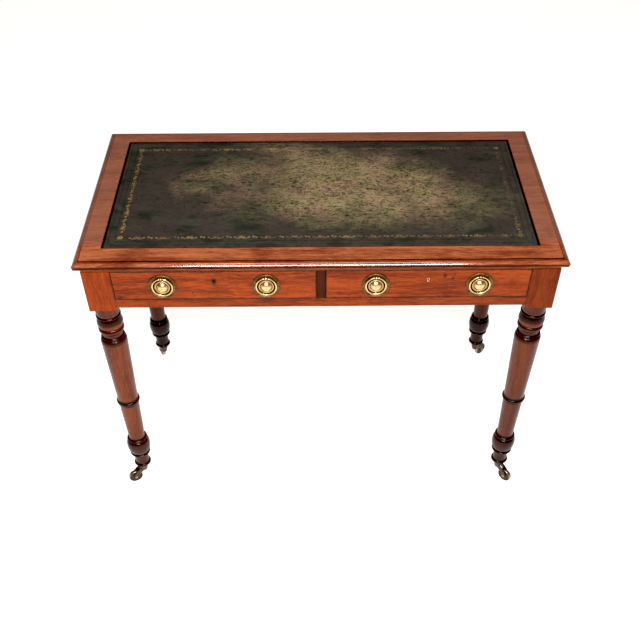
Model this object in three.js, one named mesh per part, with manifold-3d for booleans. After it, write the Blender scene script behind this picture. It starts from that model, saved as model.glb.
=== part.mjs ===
// Writing desk with two frieze drawers, on four turned legs with brass castors.
// Millimetres, +Z up. The origin is on the floor under the middle of the top; the drawers face -Y.

import * as THREE from 'three';
import { mergeVertices } from 'three/addons/utils/BufferGeometryUtils.js';
import Module from 'manifold-3d';

const wasm = await Module();
wasm.setup();

// ---------------------------------------------------------------- driving dimensions

const GAP = 0.3; // left between pieces that touch
const RUN = 0.6; // running clearance beside and over a sliding drawer
const PAST = 1; // a cutter goes past the wood that it cuts
const ROUND_SIDES = 12; // flats round a turned piece

const WIDTH = 1070; // over the moulding of the top
const DEPTH = 562;
const HEIGHT = 760;

const TOP_THICK = 19;
const MOULDING = 14; // the edge moulding reaches this far past the flat of the top
const TIP_DROP = 8.5; // the moulding is widest this far below the top surface
const SINKING = 2.6; // depth of the recess that holds the leather
const LEATHER_THICK = 1.7;
const BORDER_SIDE = 57; // wood round the leather, measured from the tip of the moulding
const BORDER_FRONT = 60;
const BORDER_BACK = 53;

const OVERHANG_SIDE = 15; // top past the posts
const OVERHANG_FRONT = 11;
const OVERHANG_BACK = 9;
const POST = 60; // square head of each leg
const POST_FOOT = 624;
const RAIL_FOOT = 632.5; // underside of every rail
const RAIL_THICK = 21;
const RAIL_INSET = 1; // rails and drawers stand back from the faces of the posts
const TOP_RAIL_HIGH = 7.5; // thin rail that laps over the front posts
const BOTTOM_RAIL_HIGH = 22.5;
const FRONT_RAIL_DEEP = 45;
const DIVIDER_WIDE = 18;
const LEDGE_WIDE = 22; // shelf of a runner, under the side of a drawer
const GUIDE_HIGH = 40; // fence of a runner, beside the drawer
const TENON_LONG = 24;
const TENON_THICK = 9;
const TENON_SHOULDER = 5; // rail left above and below a tenon

const DRAWER_BACK_SPACE = 12; // left behind a closed drawer
const FRONT_THICK = 19;
const LAP = 7; // wood of a drawer front that covers the ends of its sides
const SIDE_THICK = 10;
const SIDE_DROP = 6; // a side is lower than the front by this
const BOTTOM_THICK = 6;
const BOTTOM_UP = 8; // from the lower edge of a side to the drawer bottom
const GROOVE = 5;
const BACK_THICK = 10; // back board of a drawer
const BACK_INSET = 4; // from the ends of the sides to the back board
const BACK_DROP = 4; // the back board is lower than the sides

const HANDLE_SPREAD = 114; // each handle from the middle of its drawer
const HANDLE_DROP = 68; // handle centre below the top surface
const PLATE_R = 31;
const PULL_R = 22; // ring pull, to the middle of its wire
const WIRE_R = 1.9;
const KNUCKLE_WIDE = 3.4;
const SHANK_R = 2.7;
const WIRE_OUT = 4; // middle of the wire, out from the drawer front
const DOME_OUT = 10.3; // crown of the boss, out from the drawer front

const KEYHOLE_DROP = 52.5;
const KEYHOLE_R = 2.2;
const KEYHOLE_SLOT = 2.2; // width of the slot under the round
const KEYHOLE_LONG = 6;
const LINER = 0.9; // wall of the brass liner in the right keyhole
const LINER_DEEP = 4;
const LOCK = { wide: 50, high: 38, thick: 10.5 };
const BOLT = { wide: 22, high: 16, thick: 3.4 };
const BOLT_SUNK = 1; // an unlocked bolt lies this far under the edge of the drawer front
const BOLT_ROOM = 1; // round a bolt in its slot in the top rail

const LEG_FOOT = 63; // floor to the end of the wood
const SOCKET_DEEP = 24; // hole up into the leg for the stem of a castor
const STEM_LONG = 22;
const PLATE_THICK = 3; // castor plate under the leg
const COLLAR_FOOT = 36.5; // floor to the underside of the horn's collar
const COLLAR_R = 13.6;
const WHEEL_R = 19; // centre to the middle of a flat
const WHEEL_SIDES = 24;
const WHEEL_WIDE = 10;
const AXLE_R = 2;
const PIN_R = 3;
const PIN_HEAD_R = 4.6;
const WHEEL_CHAMFER = 1.2;
const CHEEK_THICK = 2.6; // side of the horn
const CHEEK_GAP = 0.6; // between a cheek and the wheel
const EYE_R = 5.6; // end of a cheek, round the axle
const RIVET_HEAD = { radius: 3.4, high: 1 };
const TRAIL = 28; // axle behind the swivel

// Each leg's side of the desk, and the way its castor trails in degrees round from +X.
const LEGS = [
  { name: 'front_left', side: -1, end: -1, trail: -155 },
  { name: 'front_right', side: 1, end: -1, trail: -45 },
  { name: 'back_left', side: -1, end: 1, trail: 115 },
  { name: 'back_right', side: 1, end: 1, trail: 40 },
];

// ---------------------------------------------------------------- places worked out from them

const underTop = HEIGHT - TOP_THICK - GAP;
const postOuterX = WIDTH / 2 - OVERHANG_SIDE;
const postInnerX = postOuterX - POST;
const postFrontY = -DEPTH / 2 + OVERHANG_FRONT;
const postBackY = DEPTH / 2 - OVERHANG_BACK;

const topRailFoot = underTop - TOP_RAIL_HIGH;
const bottomRailHead = RAIL_FOOT + BOTTOM_RAIL_HIGH;
const faceY = postFrontY + RAIL_INSET; // rails and drawer fronts
const frontRailBackY = faceY + FRONT_RAIL_DEEP;
const frontRailMidY = faceY + FRONT_RAIL_DEEP / 2;
const backRailFrontY = postBackY - RAIL_INSET - RAIL_THICK;
const sideRailInnerX = postOuterX - RAIL_INSET - RAIL_THICK;

const drawerHead = topRailFoot - RUN;
const drawerFoot = bottomRailHead + GAP;
const drawerNearX = DIVIDER_WIDE / 2 + RUN;
const drawerFarX = postInnerX - RUN;
const drawerMidX = (drawerNearX + drawerFarX) / 2;
const drawerBackY = backRailFrontY - DRAWER_BACK_SPACE;
const sideHead = drawerHead - SIDE_DROP;
const frontInnerY = faceY + FRONT_THICK;
const boltMidY = frontInnerY - LOCK.thick / 2;
const keyholeZ = HEIGHT - KEYHOLE_DROP;
const handleZ = HEIGHT - HANDLE_DROP;

const cheekInner = WHEEL_WIDE / 2 + CHEEK_GAP;
const cheekOuter = cheekInner + CHEEK_THICK;
const collarHead = LEG_FOOT - GAP - PLATE_THICK - GAP;

// ---------------------------------------------------------------- finishes

const mahogany = { color: 0x9a4a2c, roughness: 0.35, metalness: 0 };
const darkMahogany = { color: 0x6b2f1e, roughness: 0.3, metalness: 0 };
const pine = { color: 0xb08a5c, roughness: 0.7, metalness: 0 };
const greenLeather = { color: 0x4a4a38, roughness: 0.55, metalness: 0 };
const brass = { color: 0xd8b46a, roughness: 0.3, metalness: 1 };
const castorBrass = { color: 0x8c7a4e, roughness: 0.4, metalness: 1 };
const steel = { color: 0x7a756c, roughness: 0.45, metalness: 1 };

const desk = new THREE.Group();

function place(name, geometry, look, parent = desk) {
  const mesh = new THREE.Mesh(geometry, new THREE.MeshStandardMaterial(look));
  mesh.name = name;
  parent.add(mesh);
}

// ---------------------------------------------------------------- solids and booleans

function toSolid(geometry) {
  const bare = geometry.clone();
  bare.deleteAttribute('normal');
  bare.deleteAttribute('uv');
  const merged = mergeVertices(bare, 1e-4);
  return new wasm.Manifold(new wasm.Mesh({
    numProp: 3,
    vertProperties: merged.attributes.position.array,
    triVerts: new Uint32Array(merged.index.array),
  }));
}

function toGeometry(solid) {
  const mesh = solid.getMesh();
  const geometry = new THREE.BufferGeometry();
  geometry.setAttribute('position', new THREE.BufferAttribute(mesh.vertProperties, 3));
  geometry.setIndex(new THREE.BufferAttribute(mesh.triVerts, 1));
  geometry.computeVertexNormals();
  return geometry;
}

function join(...shapes) {
  return toGeometry(shapes.map(toSolid).reduce((sum, next) => sum.add(next)));
}

function cut(shape, ...tools) {
  return toGeometry(tools.map(toSolid).reduce((sum, next) => sum.subtract(next), toSolid(shape)));
}

// A box between two opposite corners.
function block([x0, y0, z0], [x1, y1, z1]) {
  const box = new THREE.BoxGeometry(Math.abs(x1 - x0), Math.abs(y1 - y0), Math.abs(z1 - z0));
  return box.translate((x0 + x1) / 2, (y0 + y1) / 2, (z0 + z1) / 2);
}

// A solid turned about Z, from [radius, height] points listed from the bottom up.
function turned(points, sides) {
  const outline = points.map(([radius, height]) => new THREE.Vector2(radius, height));
  return new THREE.LatheGeometry(outline, sides).rotateX(Math.PI / 2);
}

// A round bar along Z.
function rod(radius, foot, head) {
  return turned([[0, foot], [radius, foot], [radius, head], [0, head]], ROUND_SIDES);
}

// An outline drawn in X and Z, made solid from y0 to y1.
function slab(outline, y0, y1) {
  const flat = new THREE.ExtrudeGeometry(outline, { depth: y1 - y0, bevelEnabled: false, curveSegments: 3 });
  return flat.rotateX(Math.PI / 2).translate(0, y1, 0);
}

// ---------------------------------------------------------------- top

const recess = {
  left: -WIDTH / 2 + BORDER_SIDE,
  right: WIDTH / 2 - BORDER_SIDE,
  front: -DEPTH / 2 + BORDER_FRONT,
  back: DEPTH / 2 - BORDER_BACK,
};

// One side of the moulded section, from the underside out round the nose and up to the flat.
function nose(edge) {
  const coveIn = 9;
  const noseIn = 4;
  const noseFoot = 14.5;
  const fillet = 1.5;
  const side = new THREE.Path();
  side.moveTo(edge - coveIn, -TOP_THICK);
  side.quadraticCurveTo(edge - coveIn, -noseFoot, edge - noseIn, -noseFoot);
  side.quadraticCurveTo(edge, -noseFoot, edge, -TIP_DROP);
  side.quadraticCurveTo(edge, -fillet - 1, edge - MOULDING + fillet, -fillet);
  side.lineTo(edge - MOULDING, -fillet);
  side.lineTo(edge - MOULDING, 0);
  return side.getPoints(4);
}

// A bar along X with a nose on both sides, its top at height zero.
function mouldedBar(edge, long) {
  const right = nose(edge);
  const left = right.map((point) => new THREE.Vector2(-point.x, point.y)).reverse();
  const section = new THREE.Shape([...right, ...left]);
  const bar = new THREE.ExtrudeGeometry(section, { depth: long, bevelEnabled: false });
  return bar.translate(0, 0, -long / 2).rotateX(Math.PI / 2).rotateZ(Math.PI / 2);
}

function topBoard() {
  // Two bars that cross share only the board, with its moulding mitred at the corners.
  const wideBar = toSolid(mouldedBar(DEPTH / 2, WIDTH * 2));
  const deepBar = toSolid(mouldedBar(WIDTH / 2, DEPTH * 2).rotateZ(Math.PI / 2));
  const board = toGeometry(wideBar.intersect(deepBar)).translate(0, 0, HEIGHT);
  return cut(board, block(
    [recess.left, recess.front, HEIGHT - SINKING],
    [recess.right, recess.back, HEIGHT + SINKING],
  ));
}

const leatherFoot = HEIGHT - SINKING + GAP;
place('top_board', topBoard(), mahogany);
place('writing_leather', block(
  [recess.left + GAP, recess.front + GAP, leatherFoot],
  [recess.right - GAP, recess.back - GAP, leatherFoot + LEATHER_THICK],
), greenLeather);

// ---------------------------------------------------------------- rails and their joints

// A tenon that enters a post along x or y, the given way, from the post's face.
// "across" is its middle on the other axis. Grown by the gap, it is the mortise.
function tenon(axis, across, face, way, foot, head, grow = 0) {
  const half = TENON_THICK / 2 + grow;
  const low = foot + TENON_SHOULDER - grow;
  const high = head - TENON_SHOULDER + grow;
  const root = face - way;
  const tip = face + way * (TENON_LONG + grow);
  if (axis === 'x') return block([root, across - half, low], [tip, across + half, high]);
  return block([across - half, root, low], [across + half, tip, high]);
}

// The inner faces of the posts, for the front pair (-1) and the back pair (1).
const postInnerY = { '-1': postFrontY + POST, 1: postBackY - POST };
const sideRailMidX = postOuterX - RAIL_INSET - RAIL_THICK / 2;
const backRailMidY = backRailFrontY + RAIL_THICK / 2;
const sideTenonHead = topRailFoot - GAP;

const bottomRailTenon = (way, grow) => tenon(
  'x', frontRailMidY, way * postInnerX, way, RAIL_FOOT, bottomRailHead, grow);
const backRailTenon = (way, grow) => tenon(
  'x', backRailMidY, way * postInnerX, way, RAIL_FOOT, underTop, grow);
const sideRailTenon = (side, way, grow) => tenon(
  'y', side * sideRailMidX, postInnerY[way], way, RAIL_FOOT, sideTenonHead, grow);

function frontBottomRail() {
  const reach = postInnerX - GAP;
  const bar = block([-reach, faceY, RAIL_FOOT], [reach, frontRailBackY, bottomRailHead]);
  return join(bar, bottomRailTenon(-1), bottomRailTenon(1));
}

function backRail() {
  const reach = postInnerX - GAP;
  const board = block([-reach, backRailFrontY, RAIL_FOOT], [reach, backRailFrontY + RAIL_THICK, underTop]);
  return join(board, backRailTenon(-1), backRailTenon(1));
}

function sideRail(side) {
  const board = block(
    [side * sideRailInnerX, postInnerY[-1] + GAP, RAIL_FOOT],
    [side * (sideRailInnerX + RAIL_THICK), postInnerY[1] - GAP, underTop],
  );
  return join(board, sideRailTenon(side, -1), sideRailTenon(side, 1));
}

// The thin rail over the drawers, with a slot over each lock for its bolt.
function frontTopRail() {
  const rail = block([-postOuterX, postFrontY, topRailFoot], [postOuterX, postInnerY[-1], underTop]);
  const halfWide = BOLT.wide / 2 + BOLT_ROOM;
  const halfThick = BOLT.thick / 2 + BOLT_ROOM;
  const slots = [-1, 1].map((side) => block(
    [side * drawerMidX - halfWide, boltMidY - halfThick, topRailFoot - PAST],
    [side * drawerMidX + halfWide, boltMidY + halfThick, underTop + PAST],
  ));
  return cut(rail, ...slots);
}

// A runner holds up the sides of a drawer on its shelf and guides them with its fence.
function sideRunner(side) {
  const shelfX = side * (postInnerX - LEDGE_WIDE);
  const farX = side * (sideRailInnerX - GAP);
  const fromY = postInnerY[-1] + GAP;
  const toY = postInnerY[1] - GAP;
  return join(
    block([shelfX, frontRailBackY + GAP, RAIL_FOOT],
      [side * (postInnerX - GAP), backRailFrontY - GAP, bottomRailHead]),
    block([shelfX, fromY, RAIL_FOOT], [farX, toY, bottomRailHead]),
    block([side * postInnerX, fromY, RAIL_FOOT], [farX, toY, bottomRailHead + GUIDE_HIGH]),
  );
}

function centreRunner() {
  const shelf = DIVIDER_WIDE / 2 + LEDGE_WIDE;
  const fromY = frontRailBackY + GAP;
  const toY = backRailFrontY - GAP;
  return join(
    block([-shelf, fromY, RAIL_FOOT], [shelf, toY, bottomRailHead]),
    block([-DIVIDER_WIDE / 2, fromY, RAIL_FOOT], [DIVIDER_WIDE / 2, toY, bottomRailHead + GUIDE_HIGH]),
  );
}

place('front_top_rail', frontTopRail(), mahogany);
place('front_bottom_rail', frontBottomRail(), mahogany);
place('back_rail', backRail(), mahogany);
place('left_side_rail', sideRail(-1), mahogany);
place('right_side_rail', sideRail(1), mahogany);
place('drawer_divider', block(
  [-DIVIDER_WIDE / 2, faceY, bottomRailHead + GAP],
  [DIVIDER_WIDE / 2, frontRailBackY, topRailFoot - GAP],
), darkMahogany);
place('left_runner', sideRunner(-1), pine);
place('right_runner', sideRunner(1), pine);
place('centre_runner', centreRunner(), pine);

// ---------------------------------------------------------------- legs

// A bead between two heights: half an ellipse that swells from the root radius to the crown.
function bead(foot, head, root, crown) {
  const steps = 3;
  return Array.from({ length: steps + 1 }, (_, i) => {
    const angle = (i / steps - 0.5) * Math.PI;
    const height = (foot + head) / 2 + ((head - foot) / 2) * Math.sin(angle);
    return [root + (crown - root) * Math.cos(angle), height];
  });
}

// Radius of the tapered shaft at a height.
const shaft = (height) => 15.7 + height * 0.0297;
const columnHead = POST_FOOT + 2; // a little way up inside the post

const turning = [
  [0, LEG_FOOT + SOCKET_DEEP],
  [PIN_R + GAP, LEG_FOOT + SOCKET_DEEP],
  [PIN_R + GAP, LEG_FOOT],
  [17.6, LEG_FOOT],
  ...bead(66, 73, 19.5, 22.2), // toe ring
  [18.4, 74],
  [20, 109], // foot
  ...bead(110, 116, 22.5, 26.6), // ring under the bulb
  [24.4, 117],
  [28.2, 129],
  [29.8, 143],
  [29.4, 153],
  [25.5, 162.5], // head of the bulb
  ...bead(164, 171.5, 22.5, 26.3), // ring over the bulb
  [shaft(173), 173],
  [shaft(306), 306],
  ...bead(307.5, 317, 26, 29), // ring round the shaft
  [shaft(319), 319],
  [shaft(516), 516],
  [30.2, 521],
  [27, 526.4], // shoulder
  ...bead(527, 531.6, 25.4, 27.8), // ring on the shoulder
  [23.2, 538],
  [25, 545.4],
  ...bead(546, 560.2, 25.6, 30), // bold bead
  [28.2, 561.4],
  [30.2, 570],
  [29.4, 579], // upper bulb
  [26.4, 588.8],
  ...bead(589.6, 595.6, 26.4, 29), // ring under the post
  [27.4, 600],
  [28.6, columnHead],
  [0, columnHead],
];

// Each leg is one length of wood: a turned column with a square post left at its head.
function leg({ side, end }) {
  const outerY = end < 0 ? postFrontY : postBackY;
  const head = end < 0 ? topRailFoot - GAP : underTop;
  const column = turned(turning, ROUND_SIDES);
  column.translate(side * (postOuterX - POST / 2), outerY - end * (POST / 2), 0);
  const post = block([side * postInnerX, postInnerY[end], POST_FOOT], [side * postOuterX, outerY, head]);
  const acrossMortise = end < 0 ? bottomRailTenon(side, GAP) : backRailTenon(side, GAP);
  return cut(join(column, post), sideRailTenon(side, end, GAP), acrossMortise);
}

LEGS.forEach((corner) => place(`${corner.name}_leg`, leg(corner), darkMahogany));

// ---------------------------------------------------------------- drawers

// A keyhole: a round with a slot hanging from it. "grow" widens it all round.
function keyhole(grow = 0) {
  const radius = KEYHOLE_R + grow;
  const half = KEYHOLE_SLOT / 2 + grow;
  const meet = Math.asin(half / radius);
  const outline = new THREE.Path();
  outline.absarc(0, 0, radius, meet - Math.PI / 2, -meet - Math.PI / 2 + Math.PI * 2, false);
  outline.lineTo(-half, -KEYHOLE_LONG);
  outline.absarc(0, -KEYHOLE_LONG, half, Math.PI, Math.PI * 2, false);
  return new THREE.Shape(outline.getPoints(5));
}

function keyholeCutter(x, grow, y0, y1) {
  return slab(keyhole(grow), y0, y1).translate(x, 0, keyholeZ);
}

// The board that shows. Behind, it is lapped for the sides, grooved for the bottom, let in for the lock.
function drawerFront(x, liner) {
  const half = drawerMidX - drawerNearX;
  const board = block([x - half, faceY, drawerFoot], [x + half, frontInnerY, drawerHead]);
  const laps = [-1, 1].map((way) => block(
    [x + way * (half - SIDE_THICK - GAP), faceY + LAP - GAP, drawerFoot - PAST],
    [x + way * (half + PAST), frontInnerY + PAST, sideHead + GAP],
  ));
  const groove = block(
    [x - half, frontInnerY - GROOVE, drawerFoot + BOTTOM_UP - GAP],
    [x + half, frontInnerY + PAST, drawerFoot + BOTTOM_UP + BOTTOM_THICK + GAP],
  );
  const lockBed = block(
    [x - LOCK.wide / 2, frontInnerY - LOCK.thick, drawerHead - LOCK.high],
    [x + LOCK.wide / 2, frontInnerY + PAST, drawerHead + PAST],
  );
  const shankHoles = [-1, 1].map((way) => rod(SHANK_R + GAP, -PAST, FRONT_THICK + PAST)
    .rotateX(-Math.PI / 2).translate(x + way * HANDLE_SPREAD, faceY, handleZ));
  const keyholeCut = keyholeCutter(x, liner, faceY - PAST, frontInnerY);
  return cut(board, ...laps, groove, lockBed, ...shankHoles, keyholeCut);
}

function drawerSide(outerX, way) {
  const innerX = outerX + way * SIDE_THICK;
  const board = block([outerX, faceY + LAP, drawerFoot], [innerX, drawerBackY, sideHead]);
  return cut(board, block(
    [innerX - way * GROOVE, faceY, drawerFoot + BOTTOM_UP - GAP],
    [innerX + way * PAST, drawerBackY + PAST, drawerFoot + BOTTOM_UP + BOTTOM_THICK + GAP],
  ));
}

// The lock is let into the back of the drawer front; its bolt rises into the top rail.
function lockCase(x) {
  const body = block(
    [x - LOCK.wide / 2 + GAP, frontInnerY - LOCK.thick + GAP, drawerHead - LOCK.high + GAP],
    [x + LOCK.wide / 2 - GAP, frontInnerY, drawerHead],
  );
  const chamber = block(
    [x - BOLT.wide / 2 - GAP, boltMidY - BOLT.thick / 2 - GAP, drawerHead - BOLT_SUNK - BOLT.high - GAP],
    [x + BOLT.wide / 2 + GAP, boltMidY + BOLT.thick / 2 + GAP, drawerHead + PAST],
  );
  return cut(body, chamber, keyholeCutter(x, 0, frontInnerY - LOCK.thick - PAST, boltMidY));
}

function lockBolt(x) {
  return block(
    [x - BOLT.wide / 2, boltMidY - BOLT.thick / 2, drawerHead - BOLT_SUNK - BOLT.high],
    [x + BOLT.wide / 2, boltMidY + BOLT.thick / 2, drawerHead - BOLT_SUNK],
  );
}

function keyholeLiner(x) {
  const outer = keyholeCutter(x, LINER, faceY, faceY + LINER_DEEP);
  return cut(outer, keyholeCutter(x, 0, faceY - PAST, faceY + LINER_DEEP + PAST));
}

function drawer(name, side) {
  const x = side * drawerMidX;
  const half = drawerMidX - drawerNearX;
  const innerHalf = half - SIDE_THICK;
  const floorZ = drawerFoot + BOTTOM_UP;
  const floorHead = floorZ + BOTTOM_THICK;
  const lined = side > 0;
  place(`${name}_front`, drawerFront(x, lined ? LINER + GAP : 0), mahogany);
  place(`${name}_left_side`, drawerSide(x - half, 1), pine);
  place(`${name}_right_side`, drawerSide(x + half, -1), pine);
  place(`${name}_back`, block(
    [x - innerHalf + GAP, drawerBackY - BACK_INSET - BACK_THICK, floorHead + GAP],
    [x + innerHalf - GAP, drawerBackY - BACK_INSET, sideHead - BACK_DROP],
  ), pine);
  place(`${name}_bottom`, block(
    [x - innerHalf - GROOVE + GAP, frontInnerY - GROOVE + GAP, floorZ],
    [x + innerHalf + GROOVE - GAP, drawerBackY - GAP, floorHead],
  ), pine);
  place(`${name}_lock_case`, lockCase(x), steel);
  place(`${name}_lock_bolt`, lockBolt(x), brass);
  if (lined) place(`${name}_keyhole_liner`, keyholeLiner(x), brass);
  handle(`${name}_left_handle`, x - HANDLE_SPREAD);
  handle(`${name}_right_handle`, x + HANDLE_SPREAD);
}

// ---------------------------------------------------------------- handles

// A circle in X and Y that stops short at the top, on both sides of the knuckle.
class PullArc extends THREE.Curve {
  getPoint(t) {
    const open = Math.asin((KNUCKLE_WIDE / 2 + 2 * GAP) / PULL_R);
    const angle = Math.PI / 2 + open + t * (2 * Math.PI - 2 * open);
    return new THREE.Vector3(PULL_R * Math.cos(angle), PULL_R * Math.sin(angle), 0);
  }
}

// Heights here are distances out from the face of the drawer front.
const platePoints = [
  [SHANK_R + GAP, GAP],
  [PLATE_R, GAP],
  [PLATE_R, 1.4],
  [29.6, 2.6],
  [27, 1.5],
  [18.4, 1.5],
  [16.6, 4.8],
  [12.8, 4.2],
  [SHANK_R + GAP, 4.2],
  [SHANK_R + GAP, GAP],
];

const bossPoints = [
  [0, GAP - FRONT_THICK],
  [SHANK_R, GAP - FRONT_THICK],
  [SHANK_R, 4.5],
  [11.8, 4.5],
  [10.8, 7.2],
  [6.6, 9.6],
  [0, DOME_OUT],
];

function backPlate() {
  const rose = turned(platePoints, 20);
  const reach = WIRE_R + PAST; // up and down from the middle of the wire
  const knuckle = block(
    [-KNUCKLE_WIDE / 2, PULL_R - reach, PAST],
    [KNUCKLE_WIDE / 2, PULL_R + reach, WIRE_OUT + WIRE_R],
  );
  return join(rose, knuckle);
}

function pull() {
  const wire = new THREE.Shape();
  wire.absarc(0, 0, WIRE_R, 0, Math.PI * 2, false);
  return new THREE.ExtrudeGeometry(wire, {
    steps: 20, curveSegments: 4, extrudePath: new PullArc(), bevelEnabled: false,
  }).translate(0, 0, WIRE_OUT);
}

// In this group X runs right, Y runs up the drawer front and Z runs out of it.
function handle(name, x) {
  const group = new THREE.Group();
  group.position.set(x, faceY, handleZ);
  group.rotation.x = Math.PI / 2;
  desk.add(group);
  place(`${name}_plate`, backPlate(), brass, group);
  place(`${name}_boss`, turned(bossPoints, ROUND_SIDES), brass, group);
  place(`${name}_ring`, pull(), brass, group);
}

drawer('left_drawer', -1);
drawer('right_drawer', 1);

// ---------------------------------------------------------------- castors

// A plate under the leg, with a stem up into the wood and a riveted pin down for the horn.
const castorPlatePoints = [
  [0, COLLAR_FOOT - GAP - RIVET_HEAD.high],
  [PIN_HEAD_R, COLLAR_FOOT - GAP - RIVET_HEAD.high],
  [PIN_HEAD_R, COLLAR_FOOT - GAP],
  [PIN_R, COLLAR_FOOT - GAP],
  [PIN_R, collarHead + GAP],
  [COLLAR_R + 0.4, collarHead + GAP],
  [COLLAR_R - 0.4, LEG_FOOT - GAP],
  [PIN_R, LEG_FOOT - GAP],
  [PIN_R, LEG_FOOT + STEM_LONG],
  [0, LEG_FOOT + STEM_LONG],
];

const collarPoints = [
  [PIN_R + GAP, COLLAR_FOOT],
  [8, COLLAR_FOOT],
  [8.8, 41],
  [12.3, 54],
  [COLLAR_R, collarHead],
  [PIN_R + GAP, collarHead],
  [PIN_R + GAP, COLLAR_FOOT],
];

// One cheek of the horn, from the collar down to the axle, drawn in X and Z.
function cheek() {
  const head = 50;
  const outline = new THREE.Shape();
  outline.moveTo(-5, head);
  outline.lineTo(-5, 40);
  outline.quadraticCurveTo(9, 36, TRAIL - EYE_R, WHEEL_R);
  outline.absarc(TRAIL, WHEEL_R, EYE_R, Math.PI, Math.PI * 2, false);
  outline.quadraticCurveTo(TRAIL + 2, 38, 6, head);
  return outline;
}

// Turns something made about Z onto the axle.
const ontoAxle = (geometry) => geometry.rotateX(Math.PI / 2).translate(TRAIL, 0, WHEEL_R);

function horn() {
  const cheeks = [slab(cheek(), -cheekOuter, -cheekInner), slab(cheek(), cheekInner, cheekOuter)];
  const pinHole = rod(PIN_R + GAP, 0, LEG_FOOT);
  const axleHole = ontoAxle(rod(AXLE_R + GAP, -cheekOuter - PAST, cheekOuter + PAST));
  return cut(join(turned(collarPoints, ROUND_SIDES), ...cheeks), pinHole, axleHole);
}

// A rivet through both cheeks.
function axle() {
  const { radius, high } = RIVET_HEAD;
  const reach = cheekOuter + GAP;
  return ontoAxle(turned([
    [0, -reach - high], [radius, -reach - high], [radius, -reach], [AXLE_R, -reach],
    [AXLE_R, reach], [radius, reach], [radius, reach + high], [0, reach + high],
  ], ROUND_SIDES));
}

// The wheel stands on one of its flats.
function wheel() {
  const corner = 1 / Math.cos(Math.PI / WHEEL_SIDES);
  const half = WHEEL_WIDE / 2;
  const rim = WHEEL_R * corner;
  const bore = (AXLE_R + GAP) * corner;
  const tyre = turned([
    [bore, -half], [rim - WHEEL_CHAMFER, -half], [rim, WHEEL_CHAMFER - half],
    [rim, half - WHEEL_CHAMFER], [rim - WHEEL_CHAMFER, half], [bore, half], [bore, -half],
  ], WHEEL_SIDES);
  return ontoAxle(tyre.rotateZ(Math.PI / WHEEL_SIDES));
}

// In this group X runs the way the castor trails.
function castor({ name, side, end, trail }) {
  const group = new THREE.Group();
  const outerY = end < 0 ? postFrontY : postBackY;
  group.position.set(side * (postOuterX - POST / 2), outerY - end * (POST / 2), 0);
  group.rotation.z = THREE.MathUtils.degToRad(trail);
  desk.add(group);
  place(`${name}_castor_plate`, turned(castorPlatePoints, ROUND_SIDES), castorBrass, group);
  place(`${name}_castor_horn`, horn(), castorBrass, group);
  place(`${name}_castor_axle`, axle(), steel, group);
  place(`${name}_castor_wheel`, wheel(), castorBrass, group);
}

LEGS.forEach(castor);

export default desk;
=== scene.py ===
"""Looks of a Victorian writing desk: mahogany, a tooled leather top, brass handles and castors.

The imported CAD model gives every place. Shapes are drawn in millimetres and turned into metres
when a mesh is made. Each piece is built where it stands at rest and then rides on its body.
"""

import math
from functools import reduce

import bmesh
import bpy
from mathutils import Matrix, Vector, noise


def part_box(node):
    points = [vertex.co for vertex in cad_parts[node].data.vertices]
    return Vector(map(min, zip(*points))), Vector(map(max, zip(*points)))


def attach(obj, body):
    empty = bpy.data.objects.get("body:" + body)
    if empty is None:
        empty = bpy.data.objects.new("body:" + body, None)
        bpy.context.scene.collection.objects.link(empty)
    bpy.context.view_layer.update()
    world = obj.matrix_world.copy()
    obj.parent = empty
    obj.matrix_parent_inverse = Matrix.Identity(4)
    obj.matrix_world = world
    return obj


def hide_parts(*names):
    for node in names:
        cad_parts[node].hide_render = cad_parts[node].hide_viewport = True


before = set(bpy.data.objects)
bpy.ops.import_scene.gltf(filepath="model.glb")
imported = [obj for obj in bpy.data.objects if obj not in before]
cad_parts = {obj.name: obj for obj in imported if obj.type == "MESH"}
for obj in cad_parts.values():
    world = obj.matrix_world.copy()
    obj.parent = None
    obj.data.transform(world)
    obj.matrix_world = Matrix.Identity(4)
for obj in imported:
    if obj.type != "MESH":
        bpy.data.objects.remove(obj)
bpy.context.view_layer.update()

MM = 0.001

CORNERS = ["front_left", "front_right", "back_left", "back_right"]
DRAWERS = ["left_drawer", "right_drawer"]
HANDS = ["left", "right"]


# ---------------- places from the CAD model

def box_mm(node):
    """The lowest and highest corner of a CAD node, in millimetres."""
    low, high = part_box(node)
    return low / MM, high / MM


def middle(node):
    low, high = box_mm(node)
    return (low + high) / 2


def finish_of(material, slot):
    """A finish is a Blender material together with the record's slot that it belongs to."""
    return {"material": material, "slot": slot}


# ---------------- node materials

GRIME_AND_SHADE = (0.018, 0.008, 0.005)  # dark wax and dirt in gaps and dents, also painted shade in the gaps, at the keyholes and round the handle plates
FADED_AND_SHEEN = (0.22, 0.108, 0.078)  # mahogany bleached by light, also a painted sheen of reflected light
HANDLED = (0.085, 0.045, 0.038)  # the overhanging ends of the top, darkened by hands
OVERHANG = (46, 54)  # where the ends begin to darken and are darkest, in mm out from the leather
FADE_IN = (-10, 40)  # the same for the paling beside the leather, fading and painted sheen, in mm back from its front edge


def tinted(colour, share):
    """A colour times one number, or times a number for each of red, green and blue."""
    shares = share if isinstance(share, tuple) else (share, share, share)
    return tuple(min(1, c * k) for c, k in zip(colour, shares))


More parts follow.
